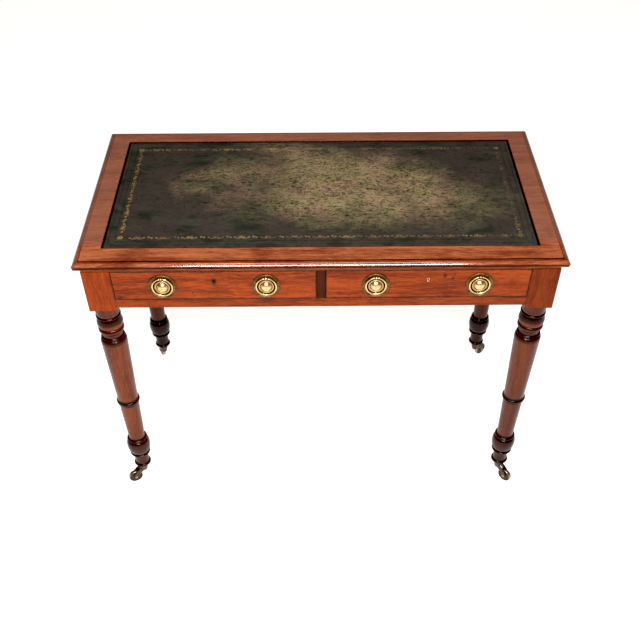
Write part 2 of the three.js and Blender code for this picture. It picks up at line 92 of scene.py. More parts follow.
class Graph:
    """A node material in the making. Each method adds a node and gives its output."""

    def __init__(self, name):
        self.material = bpy.data.materials.new(name)
        self.material.use_nodes = True
        self.nodes = self.material.node_tree.nodes
        self.links = self.material.node_tree.links
        self.shader = self.nodes["Principled BSDF"]
        self.place = self.nodes.new("ShaderNodeTexCoord").outputs["Object"]

    def feed(self, socket, value):
        if isinstance(value, bpy.types.NodeSocket):
            self.links.new(value, socket)
        else:
            socket.default_value = value

    def node(self, kind, sockets):
        """A new node with some of its inputs fed, each by its name or number."""
        node = self.nodes.new(f"ShaderNode{kind}")
        for socket, value in sockets.items():
            self.feed(node.inputs[socket], value)
        return node

    def stretched(self, vector, scale, shift=(0, 0, 0)):
        sockets = {"Vector": vector, "Scale": scale, "Location": shift}
        return self.node("Mapping", sockets).outputs["Vector"]

    def axes(self, vector):
        parts = self.node("SeparateXYZ", {0: vector}).outputs
        return parts["X"], parts["Y"], parts["Z"]

    def vector(self, x, y, z):
        return self.node("CombineXYZ", {0: x, 1: y, 2: z}).outputs[0]

    def noise(self, vector, scale=1, detail=3, roughness=0.5, distortion=0):
        """Cloudy noise. Three numbers as the scale stretch it along the axes."""
        if isinstance(scale, tuple):
            vector, scale = self.stretched(vector, scale), 1
        sockets = {"Vector": vector, "Scale": scale, "Detail": detail, "Roughness": roughness,
                   "Distortion": distortion}
        return self.node("TexNoise", sockets).outputs["Fac"]

    def calc(self, operation, first, second=0.0, clamp=False):
        node = self.node("Math", {0: first, 1: second})
        node.operation = operation
        node.use_clamp = clamp
        return node.outputs[0]

    def plus(self, first, second):
        return self.calc("ADD", first, second)

    def minus(self, first, second):
        return self.calc("SUBTRACT", first, second)

    def times(self, first, second):
        return self.calc("MULTIPLY", first, second)

    def weighted(self, *parts):
        """The sum of several values, each given with its weight."""
        return reduce(self.plus, [self.times(value, weight) for value, weight in parts])

    def band(self, value, low, high, to_low=0.0, to_high=1.0):
        """Eases from to_low to to_high while the value goes from low to high."""
        sockets = {"Value": value, "From Min": low, "From Max": high, "To Min": to_low, "To Max": to_high}
        node = self.node("MapRange", sockets)
        node.interpolation_type = "SMOOTHSTEP"
        return node.outputs["Result"]

    def mix(self, first, second, share):
        node = self.node("Mix", {"Factor": share})
        node.data_type = "RGBA"
        node.clamp_result = False
        for name, value in (("A", first), ("B", second)):
            socket = next(s for s in node.inputs if s.name == name and s.type == "RGBA")
            self.feed(socket, value if isinstance(value, bpy.types.NodeSocket) else (*value, 1))
        return next(s for s in node.outputs if s.type == "RGBA")

    def attribute(self, name):
        node = self.node("Attribute", {})
        node.attribute_name = name
        return node.outputs["Fac"]

    def bump(self, height, depth, under=None):
        """Dents the surface by a height from 0 to 1, which stands for a depth in millimetres."""
        sockets = {"Height": height, "Distance": depth * MM}
        if under is not None:
            sockets["Normal"] = under
        return self.node("Bump", sockets).outputs["Normal"]

    def set(self, **values):
        """Sets the shader's sockets; a name is the socket's, with _ for a space."""
        for name, value in values.items():
            socket = self.shader.inputs[name.replace("_", " ")]
            if isinstance(value, tuple) and len(value) == 3 and socket.type == "RGBA":
                value = (*value, 1)
            self.feed(socket, value)

    def spot(self, at, size):
        """1 at a point in millimetres, falling to 0 at an ellipsoid of the given half sizes."""
        scale = tuple(1 / (s * MM) for s in size)
        shift = tuple(-a / s for a, s in zip(at, size))
        node = self.node("VectorMath", {0: self.stretched(self.place, scale, shift)})
        node.operation = "LENGTH"
        return self.band(node.outputs["Value"], 1.0, 0.35)


def grain_space(graph, grain, seed):
    """Coordinates whose X runs with the grain, in metres, moved on for each seed."""
    x, y, z = graph.axes(graph.place)
    turned = graph.vector(*{"X": (x, y, z), "Y": (y, z, x), "Z": (z, x, y)}[grain])
    shift = (seed * 1.7, seed * 0.31, seed * 0.23)
    along, across, up = graph.axes(graph.stretched(turned, (1, 1, 1), shift))
    sway = graph.noise(turned, (2.4, 5, 5), detail=1)
    sway = graph.times(sway, 0.035)
    return graph.vector(along, graph.plus(across, sway), graph.plus(up, sway))


def edge_distance(g, low, high, axes):
    """Distance in from the nearest edge of a box, along two of the axes, in metres."""
    place = g.axes(g.place)
    ways = []
    for axis in axes:
        centre, half = (low[axis] + high[axis]) / 2 * MM, (high[axis] - low[axis]) / 2 * MM
        off = g.calc("ABSOLUTE", g.minus(place[axis], centre))
        ways.append(g.minus(half, off))
    return g.calc("MINIMUM", *ways)


def mahogany(name, slot, grain, light, dark, seed, streaks=1.0, polish=1.0, marks=(), rim=None,
             moulded=False, bleached_and_sheen=None, gloss=1.42, dry=0.0):
    """French-polished mahogany. Light and dark are the two colours of its figure.

    Rim is a box whose edges are painted dark: handling dirt, and painted shade in the gaps round it and
    under the overhang above it. Moulded wood is darker where the hollow and dull numbers of its vertices
    say so: wax, and painted shade and dark reflection in hollows and quirks and on beads. Bleached is the
    box of a panel; beside and behind it the wood is plainer and paler, partly faded and partly a painted
    sheen of reflected light. Gloss is the refractive index of the polish, and dry is how much of it is
    missing where the moulding is painted dark.
    """
    g = Graph(name)
    space = grain_space(g, grain, seed)
    figure = g.noise(space, (2.6, 26, 26), distortion=0.6)
    ribbon = g.noise(space, (9, 120, 120), roughness=0.6, distortion=0.4)
    fine = g.noise(space, (30, 420, 420), roughness=0.6)
    pores = g.band(g.noise(space, (90, 1100, 1100), detail=2), 0.58, 0.70)
    cloud = g.noise(space, scale=8, detail=4, roughness=0.65)
    flecks = g.band(g.noise(g.stretched(space, (48, 480, 480), (3, 7, 5)), detail=2), 0.56, 0.70)

    tone = g.weighted((figure, 0.34), (ribbon, 0.30), (fine, 0.36))
    # Beside and behind the leather the wood is plainer and paler: fading, and a painted sheen of reflected
    # light.
    if bleached_and_sheen is not None:
        x, y, _ = g.axes(g.place)
        right, back = (corner * MM for corner in bleached_and_sheen[1].xy)
        front = bleached_and_sheen[0].y * MM
        beside = g.band(g.calc("ABSOLUTE", x), right, right + 4 * MM)
        beside = g.times(beside, g.band(y, *(front + step * MM for step in FADE_IN)))
        pale = g.calc("MAXIMUM", beside, g.band(y, back, back + 4 * MM))
        plainer = g.times(g.minus(0.5, tone), g.times(beside, 0.4))
        tone = g.plus(tone, plainer)
    spread = 0.13 / streaks
    colour = g.mix(dark, light, g.band(tone, 0.5 - spread, 0.5 + spread))
    rich = tinted(dark, (0.72, 0.55, 0.50))
    colour = g.mix(colour, rich, g.band(cloud, 0.50, 0.74, 0, 0.7))
    bright = tinted(light, (1.25, 1.6, 2.0))
    colour = g.mix(colour, bright, g.times(flecks, 0.30 * streaks))
    colour = g.mix(colour, tinted(dark, 0.25), g.times(pores, 0.45 * streaks))
    # Painted shade: moulded wood goes dark by its hollow and dull numbers, standing for wax and for shade
    # and dark reflection in hollows, quirks and beads.
    if moulded:
        dark_wax_and_shade = tinted(dark, (0.13, 0.10, 0.13))
        hollow_wax_and_shade = g.band(g.calc("ABSOLUTE", g.attribute("hollow")), 0.15, 0.7)
        wax_and_shade = g.calc("MAXIMUM", hollow_wax_and_shade, g.attribute("dull"))
        colour = g.mix(colour, dark_wax_and_shade, wax_and_shade)
    # Painted sheen of reflected light, with fading, beside and behind the leather; then the ends darkened
    # by hands.
    if bleached_and_sheen is not None:
        colour = g.mix(colour, FADED_AND_SHEEN, g.times(pale, 0.45))
        ends = g.band(g.calc("ABSOLUTE", x), *(right + step * MM for step in OVERHANG), 0, 0.75)
        colour = g.mix(colour, HANDLED, ends)
    # Painted shade in the gaps round a drawer front and under the overhang above it, with handling dirt.
    if rim is not None:
        waver = g.times(g.noise(g.place, scale=90), -3.0 * MM)
        inward = g.plus(edge_distance(g, *rim), waver)
        colour = g.mix(colour, GRIME_AND_SHADE, g.band(inward, 3.0 * MM, -0.4 * MM, 0, 0.95))
    # Knots and stains, painted shade at the keyholes, and dirt with a painted shadow round the handle
    # plates.
    for at, size, share in marks:
        ragged = g.times(g.spot(at, size), g.band(g.noise(space, scale=330), 0.30, 0.52))
        colour = g.mix(colour, GRIME_AND_SHADE, g.times(ragged, share))

    rubbed = g.noise(space, scale=16, detail=4, roughness=0.6)
    roughness = g.plus(g.band(rubbed, 0.35, 0.7, 0.30, 0.46), g.times(pores, 0.12))
    normal = g.bump(g.minus(1.0, pores), 0.05)
    normal = g.bump(g.noise(space, (28, 90, 90)), 0.12, normal)
    g.set(Base_Color=colour, Roughness=roughness, Normal=normal,
          Specular_IOR_Level=0.05, Coat_Weight=polish, Coat_Roughness=0.10, Coat_IOR=gloss)
    if dry:
        g.set(Coat_Weight=g.band(wax_and_shade, 0, 0.7, polish, polish * (1 - dry)))
    return finish_of(g.material, slot)


def pine(name, grain, seed):
    """Aged, unpolished pine of the drawer linings and runners."""
    g = Graph(name)
    space = grain_space(g, grain, seed)
    rings = g.noise(space, (1.3, 60, 26), detail=2, distortion=0.8)
    rings = g.calc("FRACT", g.times(rings, 9.0))
    late_wood = g.band(rings, 0.45, 0.95)
    fibres = g.noise(space, (30, 1200, 1200))
    colour = g.mix((0.42, 0.25, 0.12), (0.24, 0.12, 0.050), g.times(late_wood, 0.75))
    colour = g.mix(colour, (0.16, 0.085, 0.04), g.band(fibres, 0.52, 0.75, 0, 0.5))
    grime = g.noise(space, scale=9, detail=5, roughness=0.65)
    colour = g.mix(colour, (0.11, 0.065, 0.035), g.band(grime, 0.5, 0.75, 0, 0.65))
    g.set(Base_Color=colour, Roughness=g.band(fibres, 0.3, 0.7, 0.55, 0.75),
          Normal=g.bump(fibres, 0.12, g.bump(late_wood, 0.08)), Specular_IOR_Level=0.3)
    return finish_of(g.material, "pine")


def aged_brass(name, slot, bright, dull, wear):
    """Brass gone brown where it is hollow by as much as wear, and where its vertices are dull: tarnish, and
    on the handle plates a painted dark reflection.
    """
    g = Graph(name)
    patches = g.noise(g.place, scale=140, detail=4, roughness=0.65)
    spots = g.band(g.noise(g.place, scale=900, detail=2), 0.62, 0.74)
    hollow = g.band(g.attribute("hollow"), 0, wear)
    tarnish_and_dark_reflection = g.calc("MAXIMUM", hollow, g.attribute("dull"))
    tarnish_and_dark_reflection = g.calc("ADD", tarnish_and_dark_reflection, g.band(patches, 0.45, 0.75, 0, 0.30), clamp=True)
    colour = g.mix(bright, dull, tarnish_and_dark_reflection)
    colour = g.mix(colour, tinted(dull, 0.4), g.times(spots, 0.5))
    scratches = g.noise(g.place, (900, 2600, 900))
    roughness = g.plus(g.band(tarnish_and_dark_reflection, 0, 1, 0.26, 0.45), g.times(scratches, 0.08))
    g.set(Base_Color=colour, Metallic=1.0, Roughness=roughness,
          Normal=g.bump(scratches, 0.02, g.bump(patches, 0.05)))
    return finish_of(g.material, slot)


def old_steel(name):
    g = Graph(name)
    rust = g.noise(g.place, scale=220, detail=5, roughness=0.7)
    colour = g.mix((0.24, 0.22, 0.20), (0.10, 0.05, 0.028), g.band(rust, 0.48, 0.66))
    g.set(Base_Color=colour, Metallic=g.band(rust, 0.48, 0.66, 0.9, 0.3),
          Roughness=g.band(rust, 0.4, 0.7, 0.35, 0.75), Normal=g.bump(rust, 0.08))
    return finish_of(g.material, "steel")


# ---------------- the leather and its gilding

leather_low, leather_high = box_mm("writing_leather")
leather_mid = (leather_low + leather_high) / 2
leather_half = (leather_high - leather_low) / 2

TOOLING_IN = Vector((35, 38.5))  # leather's edge to the middle of the gilt border, beside and in front
BLIND_LINES = [11, 24]  # plain tooled lines, from the leather's edge
LEATHER_RIM = (leather_low, leather_high, (0, 1))
DIRT_AND_SHADE_RIM = (leather_low - Vector((0, 3, 0)), leather_high, (0, 1))  # dirt and painted shade of the recess wall, a thinner line in front


def leather_surface(g):
    """The colour, roughness and normal of green leather, rubbed to tan where arms have rested."""
    x, y, z = g.axes(g.stretched(g.place, (1, 1, 1), tuple(-leather_mid * MM)))
    cloud = g.noise(g.place, scale=5.0, detail=5, roughness=0.62, distortion=0.5)
    slanted = g.plus(x, g.times(y, 0.6))
    across = g.calc("POWER", g.calc("DIVIDE", g.minus(slanted, 0.07), 0.35), 2.0)
    deep = g.calc("POWER", g.calc("DIVIDE", g.minus(y, 0.02), 0.18), 2.0)
    reach = g.minus(1.0, g.plus(across, deep))
    reach = g.plus(reach, g.times(g.minus(cloud, 0.5), 3.4))
    rubbed = g.band(reach, -0.4, 1.1)

    sway = g.times(g.noise(g.place, scale=7, detail=2), 0.06)
    bent = g.vector(x, g.plus(y, sway), z)
    creases = g.noise(bent, (75, 210, 1), detail=5, roughness=0.72, distortion=0.9)
    broad = g.noise(bent, (12, 28, 1), detail=4, roughness=0.65, distortion=0.6)
    hues = g.noise(g.place, scale=14, detail=4, roughness=0.6)
    speckle = g.noise(g.place, scale=260, roughness=0.65)
    grain = g.noise(g.place, scale=620, detail=2, roughness=0.6)

    green = g.mix((0.024, 0.025, 0.019), (0.052, 0.048, 0.036), g.band(broad, 0.35, 0.65))
    dark = g.mix(green, (0.052, 0.038, 0.033), g.band(hues, 0.42, 0.56, 0, 0.7))
    olive = g.mix((0.088, 0.074, 0.035), (0.110, 0.075, 0.045), g.band(hues, 0.42, 0.60))
    tan = g.mix((0.28, 0.215, 0.110), (0.31, 0.205, 0.120), g.band(hues, 0.40, 0.58))
    rough_tone = g.weighted((creases, 0.45), (speckle, 0.35), (broad, 0.20))
    worn = g.mix(olive, tan, g.band(rough_tone, 0.43, 0.56))
    colour = g.mix(dark, worn, g.times(rubbed, g.band(rough_tone, 0.38, 0.50, 0.35, 1.0)))
    colour = g.mix(colour, (0.016, 0.014, 0.011), g.band(creases, 0.46, 0.36, 0, 0.8))
    colour = g.mix(colour, (0.014, 0.013, 0.010), g.band(speckle, 0.57, 0.70, 0, 0.5))

    inward = edge_distance(g, *LEATHER_RIM)
    lines = [g.band(g.calc("ABSOLUTE", g.minus(inward, line * MM)), 1.4 * MM, 0.4 * MM)
             for line in BLIND_LINES]
    pressed = g.calc("MAXIMUM", *lines)
    colour = g.mix(colour, (0.010, 0.011, 0.008), g.times(pressed, 0.5))
    # The leather's edge is painted near-black: dirt, and painted shade from the recess wall.
    dirt_and_shade = g.band(edge_distance(g, *DIRT_AND_SHADE_RIM), 5.2 * MM, 2.6 * MM, 0, 0.96)
    colour = g.mix(colour, (0.004, 0.004, 0.004), dirt_and_shade)

    height = g.weighted((creases, 0.6), (grain, 0.4))
    normal = g.bump(g.minus(1.0, pressed), 0.15, g.bump(height, 0.25))
    return colour, g.band(creases, 0.3, 0.7, 0.42, 0.6), normal


def green_leather():
    g = Graph("green_leather")
    colour, roughness, normal = leather_surface(g)
    g.set(Base_Color=colour, Roughness=roughness, Normal=normal, Specular_IOR_Level=0.25)
    return finish_of(g.material, "leather")


def worn_gilding():
    """Gold leaf where it has lasted, and bare leather where it has been rubbed away."""
    g = Graph("worn_gilding")
    colour, roughness, normal = leather_surface(g)
    x, y, _ = g.axes(g.place)
    broad = g.noise(g.place, scale=22, detail=2)
    fine = g.noise(g.place, scale=330)
    lasting = g.weighted((broad, 0.60), (fine, 0.60), (x, -0.12), (y, -0.12))
    brown = g.mix(colour, (0.17, 0.095, 0.045), g.band(lasting, 0.40, 0.56, 0, 0.75))
    gold = g.band(lasting, 0.57, 0.80)
    g.set(Base_Color=g.mix(brown, (0.72, 0.43, 0.16), gold),
          Roughness=g.minus(roughness, g.times(gold, 0.1)),
          Metallic=g.times(gold, 0.5), Normal=normal)
    return finish_of(g.material, "leather")


# ---------------- finishes

FRIEZE_LIGHT, FRIEZE_DARK = (0.29, 0.046, 0.007), (0.12, 0.016, 0.003)
TOP_LIGHT, TOP_DARK = (0.44, 0.125, 0.052), (0.17, 0.036, 0.013)
LEG_LIGHT, LEG_DARK = (0.19, 0.037, 0.006), (0.085, 0.015, 0.003)
OLD_LIGHT, OLD_DARK = (0.056, 0.012, 0.004), (0.036, 0.007, 0.003)
# How light each leg and its post is painted, beside the front left one: partly the tone of each piece
# of wood, partly painted shade, which darkens the back legs most.
LEG_TONE_AND_SHADE = {"front_left": 1.0, "front_right": 0.66, "back_left": 0.45, "back_right": 0.5}

FRONT_FACE = box_mm("left_drawer_front")[0].y
MARK_DEEP = 4.0
MARKS_AND_SHADE = [  # dark knots and stains on the drawer fronts, and painted shade at the keyholes: x, z, half sizes, strength
    (-234.5, 704, 9, 14, 1.0),
    (234.5, 705, 6, 10, 0.8),
    (-256, 732, 9, 4.5, 1.0),
    (-240, 731, 4, 2.5, 0.8),
    (-284, 674, 2.6, 3.2, 0.9),
    (-446, 661, 9, 5, 0.8),
    (270, 716, 6, 6.5, 0.95),
    (288, 709, 5.5, 6.5, 0.95),
    (292, 719, 4, 3, 0.8),
    (407, 657, 7, 3, 0.8),
]


def front_marks(name):
    """The knots, stains and painted keyhole shade of a drawer, with dirt and a painted shadow round
    its handle plates: place, half sizes, strength.
    """
    marks_and_shade = [((x, FRONT_FACE, z), (wide, MARK_DEEP, high), strength)
             for x, z, wide, high, strength in MARKS_AND_SHADE]
    return marks_and_shade + [(middle(f"{name}_{hand}_handle_plate"), (42, 8, 42), 1.0) for hand in HANDS]


def frieze(name, grain, seed, light=1.0, dark=1.0, polish=0.3, **more):
    """The mahogany of the frame and drawers, its two colours made lighter or darker."""
    return mahogany(f"{name}_mahogany", "mahogany_frieze", grain, tinted(FRIEZE_LIGHT, light),
                    tinted(FRIEZE_DARK, dark), seed, polish=polish, **more)


top_wood = mahogany("top_mahogany", "mahogany_top", "X", TOP_LIGHT, TOP_DARK, 1, streaks=1.2,
                    moulded=True, bleached_and_sheen=box_mm("writing_leather"), gloss=1.6, dry=0.9)
rail_wood = frieze("rail", "X", 2)
lower_rail_wood = frieze("lower_rail", "X", 3, light=0.8, dark=0.7, streaks=1.5)
side_wood = frieze("side_rail", "Y", 4)
drawer_wood = {
    name: frieze(name, "X", seed, streaks=1.3, marks=front_marks(name),
                 rim=(*box_mm(f"{name}_front"), (0, 2)))
    for seed, name in enumerate(DRAWERS, 11)
}
post_wood = {
    corner: frieze(f"{corner}_post", "Z", seed, 1.1 * shade, 1.1 * shade, polish=0.25, streaks=0.8)
    for seed, (corner, shade) in enumerate(LEG_TONE_AND_SHADE.items(), 30)
}
leg_wood = {
    corner: mahogany(f"{corner}_leg_mahogany", "mahogany_leg", "Z", tinted(LEG_LIGHT, shade),
                     tinted(LEG_DARK, shade), seed, polish=0.32, moulded=True, gloss=1.55)
    for seed, (corner, shade) in enumerate(LEG_TONE_AND_SHADE.items(), 20)
}
dark_wood = mahogany("divider_mahogany", "mahogany_dark", "Z", OLD_LIGHT, OLD_DARK, 7, polish=0.15)
pine_along = pine("pine_along", "Y", 8)
pine_across = pine("pine_across", "X", 9)
brass = aged_brass("handle_brass", "brass", (0.84, 0.54, 0.25), (0.09, 0.056, 0.027), 1.4)
castor_metal = aged_brass("castor_brass", "castor_brass", (0.50, 0.39, 0.25), (0.060, 0.045, 0.032), 1.0)
steel = old_steel("old_steel")
leather = green_leather()
gilding = worn_gilding()


# ---------------- outlines

def bead(foot, head, root, crown, steps=10):
    """Half an ellipse between two heights, swelling from the root radius to the crown."""
    angles = [math.pi * (i / steps - 0.5) for i in range(steps + 1)]
    rise, reach = (head - foot) / 2, crown - root
    return [(root + reach * math.cos(a), (foot + head) / 2 + rise * math.sin(a)) for a in angles]


def smooth(points, steps=6):
    """A Catmull-Rom curve through the points, ends included."""
    held = [points[0], *points, points[-1]]
    line = []
    for p0, p1, p2, p3 in zip(held, held[1:], held[2:], held[3:]):
        for i in range(steps):
            t = i / steps
            line.append(tuple(
                0.5 * (2 * b + (c - a) * t + (2 * a - 5 * b + 4 * c - d) * t * t
                       + (3 * b - a - 3 * c + d) * t ** 3)
                for a, b, c, d in zip(p0, p1, p2, p3)))
    return [*line, points[-1]]


def arc(centre, radius, start, end, steps=8):
    """Points round a circle, with its angles in degrees."""
    turns = [math.radians(start + (end - start) * i / steps) for i in range(steps + 1)]
    return [(centre[0] + radius * math.cos(a), centre[1] + radius * math.sin(a)) for a in turns]


def divided(points, longest):
    """The same outline with extra points, so that no stretch is longer than the given length."""
    line = [points[0]]
    for start, end in zip(points, points[1:]):
        count = max(1, math.ceil(math.dist(start, end) / longest))
        line += [tuple(a + (b - a) * i / count for a, b in zip(start, end)) for i in range(1, count + 1)]
    return line


def hollows(outline, reach):
    """How far each point of an outline lies inside the mean radius of the points near it."""
    depths = []
    for radius, height in outline:
        near = [r for r, h in outline if math.dist((r, h), (radius, height)) <= reach]
        depths.append(sum(near) / len(near) - radius)
    return depths


# ---------------- meshes

def new_mesh(name, work):
    """Turns mesh work in millimetres into a mesh in metres with its faces outwards."""
    bmesh.ops.remove_doubles(work, verts=work.verts, dist=1e-4)
    bmesh.ops.recalc_face_normals(work, faces=work.faces)
    bmesh.ops.scale(work, vec=(MM, MM, MM), verts=work.verts)
    mesh = bpy.data.meshes.new(name)
    work.to_mesh(mesh)
    work.free()
    return mesh


def new_object(name, data):
    made = bpy.data.objects.new(name, data)
    bpy.context.scene.collection.objects.link(made)
    return made


def add_piece(name, work, body, finish, stands_for=(), crease=35, weighted=False):
    """Makes the piece, shades it smooth up to the crease angle, and ties it to its body."""
    mesh = new_mesh(name, work)
    mesh.shade_smooth()
    mesh.set_sharp_from_angle(angle=math.radians(crease))
    mesh.materials.append(finish["material"])
    piece = new_object(name, mesh)
    if weighted:
        piece.modifiers.new("flat_faces", "WEIGHTED_NORMAL").keep_sharp = True
    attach(piece, body)
    if stands_for:
        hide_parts(*stands_for)
    return piece


def layer(work, name):
    """A number kept on each vertex, which a material reads back."""
    return work.verts.layers.float.get(name) or work.verts.layers.float.new(name)


def skin(work, rings):
    """Joins rings with the same number of points, and closes the first and the last."""
    for lower, upper in zip(rings, rings[1:]):
        for i in range(len(lower)):
            j = (i + 1) % len(lower)
            work.faces.new((lower[i], lower[j], upper[j], upper[i]))
    work.faces.new(rings[0])
    work.faces.new(rings[-1])


def turned(work, outline, sides, matrix=Matrix.Identity(4), ripple=None, reach=4.0, dull=lambda r, h: 0):
    """Turns an outline of (radius, height) points about Z. Ripple moves a point with its angle."""
    depth_layer, dull_layer = layer(work, "hollow"), layer(work, "dull")
    closed = outline[0] == outline[-1]
    points = outline[:-1] if closed else outline
    rings = []
    for (radius, height), depth in zip(points, hollows(points, reach)):
        ring = []
        for i in range(sides if radius > 0 else 1):
            angle = 2 * math.pi * i / sides
            r, h = ripple(radius, height, angle) if ripple else (radius, height)
            vert = work.verts.new(matrix @ Vector((r * math.cos(angle), r * math.sin(angle), h)))
            vert[depth_layer] = depth
            vert[dull_layer] = dull(radius, height)
            ring.append(vert)
        rings.append(ring)
    pairs = list(zip(rings, rings[1:]))
    if closed:
        pairs.append((rings[-1], rings[0]))
    for lower, upper in pairs:
        for i in range(sides):
            j = (i + 1) % sides
            near = [lower[k % len(lower)] for k in (i, j)]
            far = [upper[k % len(upper)] for k in (j, i)]
            work.faces.new(list(dict.fromkeys(near + far)))
    return work


def block(work, low, high, ease=0.8):
    """A box between two corners with its edges rounded off."""
    made = bmesh.ops.create_cube(work, size=1)["verts"]
    low, high = Vector(low), Vector(high)
    for vert in made:
        vert.co = (low + high) / 2 + Vector(c * s for c, s in zip(vert.co, high - low))
    edges = list({edge for vert in made for edge in vert.link_edges})
    bmesh.ops.bevel(work, geom=edges, offset=ease, segments=3, profile=0.5, affect="EDGES")
    return work


def prism(work, outline, low, high, matrix=Matrix.Identity(4), ease=0.0):
    """An outline in X and Y made solid between two heights, its rims rounded by ease."""
    face = work.faces.new([work.verts.new((x, y, low)) for x, y in outline])
    made = bmesh.ops.extrude_face_region(work, geom=[face])["geom"]
    upper = [g for g in made if isinstance(g, bmesh.types.BMVert)]
    bmesh.ops.translate(work, vec=(0, 0, high - low), verts=upper)
    every = list({*face.verts, *upper})
    if ease:
        rims = [e for e in {e for v in every for e in v.link_edges}
                if abs(e.verts[0].co.z - e.verts[1].co.z) < 1e-6]
        made = bmesh.ops.bevel(work, geom=rims, offset=ease, segments=2, profile=0.5, affect="EDGES")
        every = list({v for f in made["faces"] for v in f.verts} | {v for v in every if v.is_valid})
    bmesh.ops.transform(work, matrix=matrix, verts=every)
    return work


WORN_LENGTH = 9.0  # shorter edges of a CAD solid stay sharp
WORN_ANGLE = math.radians(40)  # and so do flatter ones


def eased(node, body, finish, width=0.7):
    """A copy of a CAD solid with its long edges worn round, which stands for it."""
    work = bmesh.new()
    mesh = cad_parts[node].data
    verts = [work.verts.new(v.co / MM) for v in mesh.vertices]
    for face in mesh.polygons:
        work.faces.new([verts[i] for i in face.vertices])
    bmesh.ops.remove_doubles(work, verts=work.verts, dist=0.01)
    bmesh.ops.dissolve_limit(work, angle_limit=math.radians(1), verts=work.verts, edges=work.edges)
    worn = [e for e in work.edges if e.calc_length() > WORN_LENGTH and e.calc_face_angle(0) > WORN_ANGLE]
    bmesh.ops.bevel(work, geom=worn, offset=width, segments=3, profile=0.5, affect="EDGES")
    return add_piece(f"{node}_wood", work, body, finish, [node], weighted=True)


# ---------------- top

def rectangle_ring(work, sides, height, corner, steps=5):
    """A rounded rectangle of points at one height. Sides are its left, right, front and back."""
    left, right, front, back = sides
    ring = []
    for x, y, start in ((right, back, 0), (left, back, 90), (left, front, 180), (right, front, 270)):
        inset = Vector((corner if x == left else -corner, corner if y == front else -corner))
        for px, py in arc((x + inset.x, y + inset.y), corner, start, start + 90, steps):
            ring.append(work.verts.new((px, py, height)))
    return ring


# The moulding from below: inset from its widest part, height from the top, and the darkening held,
# which is dark wax and painted shade in the quirks and under the nose.
MOULDING = [
    (9.0, -19.0, 0.5), (9.0, -18.4, 0.9),
    *smooth([(8.6, -17.6, 1.0), (6.6, -16.9, 1.0), (3.4, -16.6, 0.9)]),
    (2.2, -16.3, 0.9), (1.5, -16.0, 0.8), (1.3, -15.6, 0.5), (1.3, -13.5, 0.5), (1.6, -13.1, 0.9),
    (2.7, -12.7, 1.0), (2.3, -12.0, 1.0),
    *smooth([(1.3, -11.6, 1.0), (0.4, -10.4, 0.95), (0.1, -9.2, 0.85), (0.25, -7.9, 0.6),
             (1.2, -6.2, 0.1), (3.3, -4.0, 0), (5.8, -2.2, 0.1), (8.6, -1.75, 0.35), (11.9, -1.6, 0.5)], 5),
    (12.6, -1.8, 0.9), (13.3, -1.75, 1.0), (13.7, -1.0, 1.0), (13.9, -0.35, 0.6),
    (14.5, 0, 0.1), (16, 0, 0),
]
# The worn edge of the recess, inwards: distance out from its wall, height from the top, and the
# darkening held, which is wax and painted shade from the recess wall.
RECESS_EDGE = [(2.6, 0.0, 0.0), (1.2, 0.0, 0.7), (0.5, -0.05, 1.0), (0.1, -0.4, 1.0), (0.0, -0.9, 1.0)]
BOARD_CORNER = 1.4  # radius of the corners of the board
RECESS_CORNER = 0.8
RECESS_GAP = 0.3  # round and under the leather


def widened(low, high, by):
    """The left, right, front and back of a box, each moved out by a distance."""
    return low.x - by, high.x + by, low.y - by, high.y + by


def top_board():
    """A solid board with a thumb moulding all round and a sunk bed for the leather."""
    low, high = box_mm("top_board")
    work = bmesh.new()
    wax_and_shade_layer = layer(work, "dull")
    rings = []

    def add_ring(sides, height, corner, held):
        rings.append(rectangle_ring(work, sides, height, corner))
        for vert in rings[-1]:
            vert[wax_and_shade_layer] = held

    for inset, height, held in MOULDING:
        add_ring(widened(low, high, -inset), high.z + height, BOARD_CORNER + inset * 0.12, held)
    for out, height, held in RECESS_EDGE:
        sides = widened(leather_low, leather_high, RECESS_GAP + out)
        add_ring(sides, high.z + height, RECESS_CORNER + out, held)
    bed = widened(leather_low, leather_high, RECESS_GAP)
    add_ring(bed, leather_low.z - RECESS_GAP, RECESS_CORNER, 0)
    skin(work, rings)
    return add_piece("moulded_top", work, "carcase", top_wood, ["top_board"], crease=40, weighted=True)


LEATHER_SUNK = 0.12
LEATHER_WAVES = 0.11
ROLL_DOWN = 0.7  # how far the edges of the leather go down


def leather_panel():
    """The skin of leather, slightly uneven, rolled down at its edges."""
    across, deep, rolled = 176, 84, 3  # cells of the grid each way, and in a rolled edge
    work = bmesh.new()
    grid = []
    for j in range(deep + 1):
        row = []
        for i in range(across + 1):
            x = leather_low.x + (leather_high.x - leather_low.x) * i / across
            y = leather_low.y + (leather_high.y - leather_low.y) * j / deep
            inward = min(i, across - i, j, deep - j, rolled) / rolled
            wave = noise.fractal(Vector((x / 34, y / 22, 0)), 0.7, 2.1, 4) * LEATHER_WAVES
            height = wave - LEATHER_SUNK - ROLL_DOWN * (1 - inward) ** 2
            row.append(work.verts.new((x, y, leather_high.z + min(height, 0.1))))
        grid.append(row)
    for lower, upper in zip(grid, grid[1:]):
        for i in range(across):
            work.faces.new((lower[i], lower[i + 1], upper[i + 1], upper[i]))
    rim = [e for e in work.edges if e.is_boundary]
    made = bmesh.ops.extrude_edge_only(work, edges=rim)["geom"]
    for vert in (v for v in made if isinstance(v, bmesh.types.BMVert)):
        vert.co.z = leather_low.z
    work.edges.ensure_lookup_table()
    bmesh.ops.holes_fill(work, edges=[e for e in work.edges if e.is_boundary], sides=0)
    return add_piece("leather_panel", work, "carcase", leather, ["writing_leather"], crease=50)


top_board()
leather_panel()


# ---------------- gilt border

GILT_THICK = 0.06
UNIT_LONG = 58.5  # one repeat of the tooling
FLOWER_WIDE = 16.0


